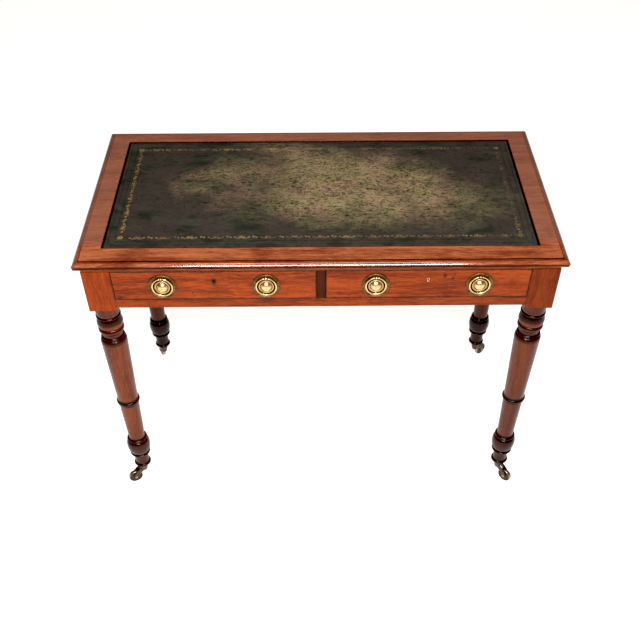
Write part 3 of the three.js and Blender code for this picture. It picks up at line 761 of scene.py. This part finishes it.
def stroke(work, points, widths, place):
    """A flat tapering line through the points. Place puts a flat point on the leather."""
    start, swell, tip = widths
    rows = []
    for i, point in enumerate(points):
        before, after = points[max(i - 1, 0)], points[min(i + 1, len(points) - 1)]
        along = (Vector(after) - Vector(before)).normalized()
        share = i / (len(points) - 1)
        wide = start * (1 - share) ** 2 + 2 * swell * share * (1 - share) + tip * share ** 2
        side = Vector((-along.y, along.x)) * wide / 2
        one, other = Vector(point) + side, Vector(point) - side
        corners = ((one, 0), (other, 0), (other, GILT_THICK), (one, GILT_THICK))
        rows.append([work.verts.new(place(flat, up)) for flat, up in corners])
    skin(work, rows)


def curl(centre, start_radius, end_radius, start, turn, steps=14):
    """A spiral round a centre, from one radius to another, through a turn in degrees."""
    line = []
    for i in range(steps + 1):
        share = i / steps
        angle = math.radians(start + turn * share)
        radius = start_radius + (end_radius - start_radius) * share
        line.append((centre[0] + radius * math.cos(angle), centre[1] + radius * math.sin(angle)))
    return line


def leaf(work, root, angle, long, wide, place):
    """A curved leaf that swells in the middle and comes to a point."""
    along = Vector((math.cos(math.radians(angle)), math.sin(math.radians(angle))))
    side = Vector((-along.y, along.x))
    line = [Vector(root) + along * long * t + side * wide * math.sin(math.pi * t) * 0.5
            for t in (0, 0.2, 0.4, 0.6, 0.8, 1)]
    stroke(work, line, (0.5, abs(wide) * 1.7, 0.3), place)


def acanthus(work, place):
    """An upright leaf between spreading leaves, with a scroll at each side."""
    leaf(work, (0, -5), 90, 11, 2.2, place)
    for way in (1, -1):
        leaf(work, (way * 0.8, -4.4), 90 - way * 34, 10.5, way * 1.9, place)
        leaf(work, (way * 2.0, -4.8), 90 - way * 62, 9.0, way * 1.6, place)
        stem = smooth([(way * 3.5, -5.2), (way * 8, -5.4), (way * 12, -3.2), (way * 13.4, -0.6)], 4)
        stroke(work, stem, (0.5, 1.4, 1.0), place)
        scroll = curl((way * 15.8, -1.0), 2.4, 0.8, 90 + way * 80, -way * 320)
        stroke(work, scroll, (1.0, 1.2, 1.5), place)


def s_scroll(work, place, x):
    """Two small curls that run into each other."""
    for way in (1, -1):
        start = 152 if way > 0 else 332
        stroke(work, curl((x + way * 3.0, -way * 1.6), 3.4, 0.9, start, -330), (1.0, 1.3, 1.5), place)


def tooled_unit(work, place):
    """One repeat of the border."""
    acanthus(work, place)
    s_scroll(work, place, UNIT_LONG / 2)


def corner_flower(work, place):
    """Petals round a bare middle."""
    petals, bare = 8, 1.6
    for i in range(petals):
        angle = 360 * i / petals
        root = (bare * math.cos(math.radians(angle)), bare * math.sin(math.radians(angle)))
        leaf(work, root, angle, 5.6, 2.2, place)


def gilt_border():
    """A row of tooled units along each side of the leather, with a flower in each corner."""
    work = bmesh.new()
    gilt_z = leather_high.z - 0.03
    half = Vector((leather_half.x, leather_half.y)) - TOOLING_IN

    def placer(centre, turn):
        spin = Matrix.Rotation(math.radians(turn), 2)

        def place(point, up):
            flat = spin @ Vector(point)
            return (leather_mid.x + centre[0] + flat.x, leather_mid.y + centre[1] + flat.y, gilt_z + up)
        return place

    runs = ((half.x, half.y, 0), (half.y, half.x, 90))
    for reach, away, turn in runs:
        long = 2 * reach - FLOWER_WIDE
        count = round(long / UNIT_LONG)
        for way in (-1, 1):
            for i in range(count):
                along = long * ((i + 0.5) / count - 0.5)
                centre = (along, way * away) if turn == 0 else (way * away, along)
                tooled_unit(work, placer(centre, turn + (0 if way < 0 else 180)))
    for x in (-half.x, half.x):
        for y in (-half.y, half.y):
            corner_flower(work, placer((x, y), 0))
    return add_piece("gilt_border", work, "carcase", gilding)


gilt_border()


# ---------------- rails, divider and runners

RAILS = {
    "front_top_rail": rail_wood,
    "front_bottom_rail": lower_rail_wood,
    "back_rail": rail_wood,
    "left_side_rail": side_wood,
    "right_side_rail": side_wood,
    "drawer_divider": dark_wood,
    "left_runner": pine_along,
    "right_runner": pine_along,
    "centre_runner": pine_along,
}
for node, wood in RAILS.items():
    eased(node, "carcase", wood)


# ---------------- legs

SHAFT_R = 15.7  # the tapered shaft's radius if it went down to the floor
TAPER = 0.0297


def shaft(height):
    """Radius of the tapered shaft at a height."""
    return SHAFT_R + height * TAPER


# Radius and height of the turned part of a leg, from the floor up.
TURNING = divided([
    (3.3, 87), (3.3, 63), (16.4, 63), (17.4, 63.6),
    (18.0, 65.6), *bead(66, 73, 19.3, 22.2), (18.8, 73.4), (18.2, 74.4),
    *smooth([(18.4, 76), (18.4, 88), (19.0, 102), (20.2, 108)]),
    (22.0, 109.3), *bead(110, 116, 22.4, 26.6), (22.8, 116.4),
    *smooth([(23.6, 117.2), (26.6, 122.5), (28.6, 130), (29.8, 141), (29.7, 150), (28.0, 158),
             (25.2, 162.6)]),
    (22.8, 163.4), *bead(164, 171.5, 22.5, 26.3), (22.0, 172.0), (shaft(173.4), 173.2),
    (shaft(306), 306), (26.0, 306.9), *bead(307.5, 317, 26.0, 29.0), (26.0, 317.6), (shaft(319), 318.6),
    *smooth([(shaft(512), 512), (31.0, 516), (30.6, 519.5), (29.4, 523), (27.0, 526.2)]),
    (25.2, 526.6), *bead(527, 531.6, 25.4, 27.8), (24.6, 532.2),
    *smooth([(23.6, 533.5), (23.1, 538), (23.6, 542.6), (25.0, 545.2)]),
    (25.4, 545.6), *bead(546, 560.2, 25.6, 30.0, 16), (27.0, 560.8),
    *smooth([(28.2, 561.6), (29.5, 565.5), (30.2, 570), (30.0, 575), (29.0, 580.5), (27.6, 585.5),
             (26.4, 588.2)]),
    (25.8, 589.0), *bead(589.6, 595.6, 26.4, 29.0, 8), (26.2, 596.1),
    *smooth([(26.8, 597), (27.6, 602), (28.2, 610), (28.6, 618), (28.6, 626)]), (0, 626),
], 6.0)
POST_FOOT = 624.0

# Stretches of a leg painted darker, as wax and as shade on the upper sides of the mouldings: from, to,
# strength.
WAXED_AND_SHADED = [(64, 118, 0.72), (116, 170, 0.8), (300, 322, 0.5), (512, 534, 0.75), (528, 552, 0.45),
         (572, 600, 0.9), (584, 612, 0.5), (600, 640, 0.35)]
WAX_AND_SHADE_FADE = 4.0  # length over which the darkening fades in and out


def leg_wax_and_shade(_radius, height):
    """Darkening held at a height of a leg: wax, and painted shade."""
    return max(strength * min(1, max(0, min(height - foot, head - height) / WAX_AND_SHADE_FADE))
               for foot, head, strength in WAXED_AND_SHADED)


def leg(corner):
    """A turned column with a square post at its head."""
    low, high = box_mm(f"{corner}_leg")
    axis = (low + high) / 2
    stand = Matrix.Translation((axis.x, axis.y, 0))
    column = turned(bmesh.new(), TURNING, 80, stand, reach=5.0, dull=leg_wax_and_shade)
    add_piece(f"{corner}_turned_leg", column, "carcase", leg_wood[corner], [f"{corner}_leg"], crease=50)
    post = block(bmesh.new(), (low.x, low.y, POST_FOOT), high, 0.9)
    add_piece(f"{corner}_post", post, "carcase", post_wood[corner], weighted=True)


for corner in CORNERS:
    leg(corner)


# ---------------- drawers

PINS = 3  # of the drawer front, between the tails of each side
PIN_NARROW = 2.2  # half its height at the front
PIN_WIDE = 4.6  # half its height at the back
PIN_SUNK = 1.0
PIN_PROUD = 0.12
SIDEWAYS = Matrix(((0, 0, 1, 0), (1, 0, 0, 0), (0, 1, 0, 0), (0, 0, 0, 1)))  # X, Y, Z to Y, Z, X


def dovetail_pins(name, hand):
    """The pins of a drawer front show on its sides, flush between the tails."""
    low, high = box_mm(f"{name}_{hand}_side")
    outer, way = (low.x, -1) if hand == "left" else (high.x, 1)
    back_y = box_mm(f"{name}_front")[1].y
    left, right = sorted((outer - way * PIN_SUNK, outer + way * PIN_PROUD))
    work = bmesh.new()
    for i in range(PINS):
        z = low.z + (high.z - low.z) * (i + 0.5) / PINS
        outline = [(low.y, z - PIN_NARROW), (back_y, z - PIN_WIDE),
                   (back_y, z + PIN_WIDE), (low.y, z + PIN_NARROW)]
        prism(work, outline, left, right, SIDEWAYS)
    add_piece(f"{name}_{hand}_pins", work, name, drawer_wood[name])


def drawer(name):
    """A drawer of five boards with its lock, bolt and two handles."""
    eased(f"{name}_front", name, drawer_wood[name])
    for hand in HANDS:
        eased(f"{name}_{hand}_side", name, pine_along)
        dovetail_pins(name, hand)
    eased(f"{name}_back", name, pine_across)
    eased(f"{name}_bottom", name, pine_across, width=0.4)
    eased(f"{name}_lock_case", name, steel, width=0.3)
    eased(f"{name}_lock_bolt", f"{name}_lock_bolt", brass, width=0.3)
    for hand in HANDS:
        handle(f"{name}_{hand}_handle", name)


# ---------------- handles

PULL_R = 22.0
PULL_OUT = 4.0  # middle of the ring pull, out from the drawer front
WIRE_R = 1.9
MILLED = (12.9, 16.9)  # the milled ring lies between these radii
MILLING = 44  # flutes round it
HANDLE_GAP = 0.3  # behind the plate
KNUCKLE = [(0, -1.7), (2.0, -1.7), (2.3, -1.4), (2.3, 1.4), (2.0, 1.7), (0, 1.7)]

PLATE = divided([
    (3.0, 0.3), (30.6, 0.3), (31.0, 0.7), (31.0, 1.3),
    *smooth([(30.9, 1.6), (30.3, 2.4), (29.5, 2.7), (28.7, 2.3), (28.2, 1.6), (26.8, 1.2), (24.6, 0.95),
             (21.5, 0.9), (19.0, 1.2), (18.0, 1.9), (17.5, 3.2), (16.9, 4.2)], 3),
    *smooth([(16.6, 4.5), (15.6, 4.8), (14.4, 4.8), (13.4, 4.5), (12.8, 3.8)], 3),
    (12.4, 3.4), (3.0, 3.4), (3.0, 0.3),
], 2.5)

BOSS = [
    (0, -18.0), (2.7, -18.0), (2.7, 3.6), (11.2, 3.6), (11.8, 4.0), *arc((10.9, 4.6), 0.9, -10, 80, 4),
    (10.9, 5.7), *smooth([(10.5, 6.1), (9.6, 7.4), (7.9, 8.7), (5.6, 9.6), (2.9, 10.15), (0, 10.3)], 4),
]


def plate_tarnish_and_dark_reflection(radius, _height):
    """The plate is painted dark outside the pull and darker beside the milled ring: tarnish and dirt, and a
    painted dark reflection.
    """
    inner, outer = MILLED
    if radius > PULL_R + 2:
        return 0.85
    return 0.25 if inner < radius < outer else 1.0


def milled(radius, height, angle):
    """Cuts shallow flutes across the milled ring."""
    inner, outer = MILLED
    if not inner < radius < outer:
        return radius, height
    swell = math.sin(math.pi * (radius - inner) / (outer - inner))
    return radius, height + 0.3 * swell * math.cos(MILLING * angle)


def ring_pull(place):
    """A round wire bent in a circle, tapered to a rounded end at each side of the knuckle."""
    steps, around, rounded = 96, 16, 3
    half_gap = math.asin(2.5 / PULL_R)
    up = Vector((0, 0, 1))
    turns = [2 * math.pi * k / around for k in range(around)]
    work = bmesh.new()
    rings = []
    for i in range(steps + 1):
        share = i / steps
        angle = math.pi / 2 + half_gap + share * (2 * math.pi - 2 * half_gap)
        wire = WIRE_R * (0.86 + 0.14 * math.sin(math.pi * share))
        to_end = min(i, steps - i)
        if to_end < rounded:
            wire = WIRE_R * math.sqrt(max(0.05, 1 - (1 - to_end / rounded) ** 2))
        out = Vector((math.cos(angle), math.sin(angle), 0))
        core = out * PULL_R + up * PULL_OUT
        round_it = [core + (out * math.cos(a) + up * math.sin(a)) * wire for a in turns]
        rings.append([work.verts.new(place @ point) for point in round_it])
    skin(work, rings)
    return work


def handle(name, body):
    """A round plate with a domed boss, and a ring pull that hangs from a knuckle at the top."""
    low, high = box_mm(f"{name}_plate")
    centre = Vector(((low.x + high.x) / 2, high.y + HANDLE_GAP, (low.z + high.z) / 2))
    place = Matrix.Translation(centre) @ Matrix.Rotation(math.pi / 2, 4, "X")

    plate = turned(bmesh.new(), PLATE, 6 * MILLING, place, milled, 3.0, plate_tarnish_and_dark_reflection)
    barrel = place @ Matrix.Translation((0, PULL_R, PULL_OUT)) @ Matrix.Rotation(math.pi / 2, 4, "Y")
    turned(plate, KNUCKLE, 20, barrel, reach=1.0)
    add_piece(f"{name}_rose", plate, body, brass, [f"{name}_plate"])

    boss = turned(bmesh.new(), BOSS, 48, place, reach=3.0)
    add_piece(f"{name}_dome", boss, body, brass, [f"{name}_boss"])
    add_piece(f"{name}_pull", ring_pull(place), f"{name}_ring", brass, [f"{name}_ring"])


for name in DRAWERS:
    drawer(name)


# ---------------- castors

COLLAR = [
    (3.3, 36.5), (7.4, 36.5), (8.0, 37.0), (8.4, 39.0),
    *smooth([(8.7, 41), (9.6, 45), (10.9, 49.5), (12.2, 54)], 3),
    *bead(54.6, 59.3, 12.4, 13.6, 6), (3.3, 59.4), (3.3, 36.5),
]
CASTOR_PLATE = [
    (0, 35.2), (3.6, 35.2), (4.6, 35.7), (4.6, 36.2), (3.0, 36.2), (3.0, 59.7), (13.6, 59.7),
    (14.0, 60.1), (13.9, 61.4), (13.2, 62.7), (3.0, 62.7), (3.0, 85), (0, 85),
]
TRAIL = 28.0  # how far the wheel stands off the swivel pin
WHEEL_R = 19.0
CHEEK_IN = 5.6  # middle of the wheel to the inside of a cheek
CHEEK_THICK = 2.6
CHEEK_END_R = 5.6  # round the axle
TREAD_FROM = 17.6  # the tread is outside this radius, and is rubbed bright
PLATE_DULL, HORN_DULL, TREAD_DULL = 0.85, 0.9, 0.3


def cheek_outline():
    """A cheek of the horn from the side: down its back, round the axle and up its front."""
    back = [(-5, 50), (-6.2, 45), (-5, 40.5), (2, 38.0), (10, 33.5), (17, 27.5), (TRAIL - 5.8, 22)]
    front = [(TRAIL + 4.4, 26), (TRAIL + 1.4, 33), (22.5, 40), (14, 45.5), (6, 50)]
    return [*smooth(back, 4), *arc((TRAIL, WHEEL_R), CHEEK_END_R, 170, 370, 14), *smooth(front, 4)]


def castor(corner):
    """A socket under the leg, a horn that swivels on it, and a wheel on a rivet through the horn."""
    node = f"{corner}_castor"
    pivot, hub = middle(f"{node}_plate"), middle(f"{node}_wheel")
    trail = math.atan2(hub.y - pivot.y, hub.x - pivot.x)
    place = Matrix.Translation((pivot.x, pivot.y, 0)) @ Matrix.Rotation(trail, 4, "Z")
    upright = place @ Matrix.Rotation(math.pi / 2, 4, "X")
    hub_place = place @ Matrix.Translation((TRAIL, 0, hub.z)) @ Matrix.Rotation(math.pi / 2, 4, "X")

    plate = turned(bmesh.new(), CASTOR_PLATE, 40, place, dull=lambda r, h: PLATE_DULL)
    add_piece(f"{node}_socket", plate, "carcase", castor_metal, [f"{node}_plate"])

    horn = turned(bmesh.new(), COLLAR, 48, place)
    for way in (-1, 1):
        low, high = sorted((way * CHEEK_IN, way * (CHEEK_IN + CHEEK_THICK)))
        prism(horn, cheek_outline(), low, high, upright, 0.5)
    dull = layer(horn, "dull")
    for vert in horn.verts:
        vert[dull] = HORN_DULL
    add_piece(f"{node}_fork", horn, f"{node}_horn", castor_metal, [f"{node}_horn"])

    reach = CHEEK_IN + CHEEK_THICK + 0.3
    head = [(2.0, reach), (3.4, reach), (3.3, reach + 0.4), (2.2, reach + 0.9), (0, reach + 1)]
    rivet = [*[(r, -h) for r, h in reversed(head)], *head]
    pin = turned(bmesh.new(), rivet, 24, hub_place)
    add_piece(f"{node}_rivet", pin, f"{node}_horn", castor_metal, [f"{node}_axle"])

    face = [(2.3, 5), (5.4, 5), (5.8, 4.7), (6.4, 4.2), (14.6, 4.2), (15.4, 4.8), (17.2, 5.0)]
    rim = smooth([(WHEEL_R - 1.0, -4.7), (WHEEL_R - 0.2, -3.4), (WHEEL_R, 0), (WHEEL_R - 0.2, 3.4),
                  (WHEEL_R - 1.0, 4.7)], 4)
    tread = [*[(r, -h) for r, h in face], *rim, *reversed(face), (2.3, -5)]
    roller = turned(bmesh.new(), tread, 64, hub_place,
                    dull=lambda r, h: TREAD_DULL if r > TREAD_FROM else 1.0)
    add_piece(f"{node}_roller", roller, f"{node}_wheel", castor_metal, [f"{node}_wheel"])


for corner in CORNERS:
    castor(corner)


# ---------------- keyhole liner

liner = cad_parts["right_drawer_keyhole_liner"]
liner.data.materials.clear()
liner.data.materials.append(brass["material"])


# ---------------- floor, light and camera

FLOOR_HALF = 12.0
FLOOR_GLOW = 0.80  # the table stands on a lit white sweep
SKY = 0.12
BLACK_LEVEL = 0.018  # darkest tone of the picture
CAMERA_AT = (-0.01464, -1.7724, 1.8758)  # metres
PITCH = 47.116  # degrees below the horizon
YAW = -0.436  # degrees, as is the roll
ROLL = 0.146
FOCAL = 48.391  # millimetres, as is the sensor
SENSOR = 36.0
SHIFT_UP = 0.15625


def floor():
    work = bmesh.new()
    corners = [(-1, -1), (1, -1), (1, 1), (-1, 1)]
    work.faces.new([work.verts.new((x * FLOOR_HALF, y * FLOOR_HALF, 0)) for x, y in corners])
    mesh = bpy.data.meshes.new("floor")
    work.to_mesh(mesh)
    work.free()
    g = Graph("studio_floor")
    cloud = g.noise(g.place, scale=1.3)
    pale = g.mix((0.80, 0.79, 0.78), (0.83, 0.825, 0.81), cloud)
    g.set(Base_Color=pale, Roughness=0.9, Specular_IOR_Level=0.1,
          Emission_Color=(1.0, 0.985, 0.96), Emission_Strength=FLOOR_GLOW)
    mesh.materials.append(g.material)
    new_object("floor", mesh)


def soft_light(name, at, target, size, power):
    """A rectangular lamp that faces its target, in metres and watts."""
    data = bpy.data.lights.new(name, "AREA")
    data.shape = "RECTANGLE"
    data.size, data.size_y = size
    data.energy = power
    light = new_object(name, data)
    light.location = at
    light.rotation_mode = "QUATERNION"
    light.rotation_quaternion = (Vector(target) - Vector(at)).to_track_quat("-Z", "Y")


def surroundings():
    world = bpy.data.worlds.new("studio")
    world.use_nodes = True
    sky = world.node_tree.nodes["Background"]
    sky.inputs["Color"].default_value = (1, 0.99, 0.975, 1)
    sky.inputs["Strength"].default_value = SKY
    bpy.context.scene.world = world


def camera():
    data = bpy.data.cameras.new("camera")
    data.lens = FOCAL
    data.sensor_width = SENSOR
    data.shift_y = SHIFT_UP
    eye = new_object("camera", data)
    eye.matrix_world = (Matrix.Translation(CAMERA_AT) @ Matrix.Rotation(math.radians(YAW), 4, "Z")
                        @ Matrix.Rotation(math.radians(90 - PITCH), 4, "X")
                        @ Matrix.Rotation(math.radians(-ROLL), 4, "Z"))
    bpy.context.scene.camera = eye


def picture_tone():
    """A plain picture, with its faintest tones let go to black."""
    settings = bpy.context.scene.view_settings
    settings.view_transform = "Standard"
    settings.use_curve_mapping = True
    settings.curve_mapping.black_level = (BLACK_LEVEL, BLACK_LEVEL, BLACK_LEVEL)
    settings.curve_mapping.update()


floor()
surroundings()
soft_light("key", at=(0.02, -1.95, 2.25), target=(0, 0, 0.6), size=(1.35, 0.5), power=86)
soft_light("overhead", at=(0, -0.75, 2.9), target=(0, 0, 0.76), size=(1.3, 0.6), power=22)
camera()
picture_tone()
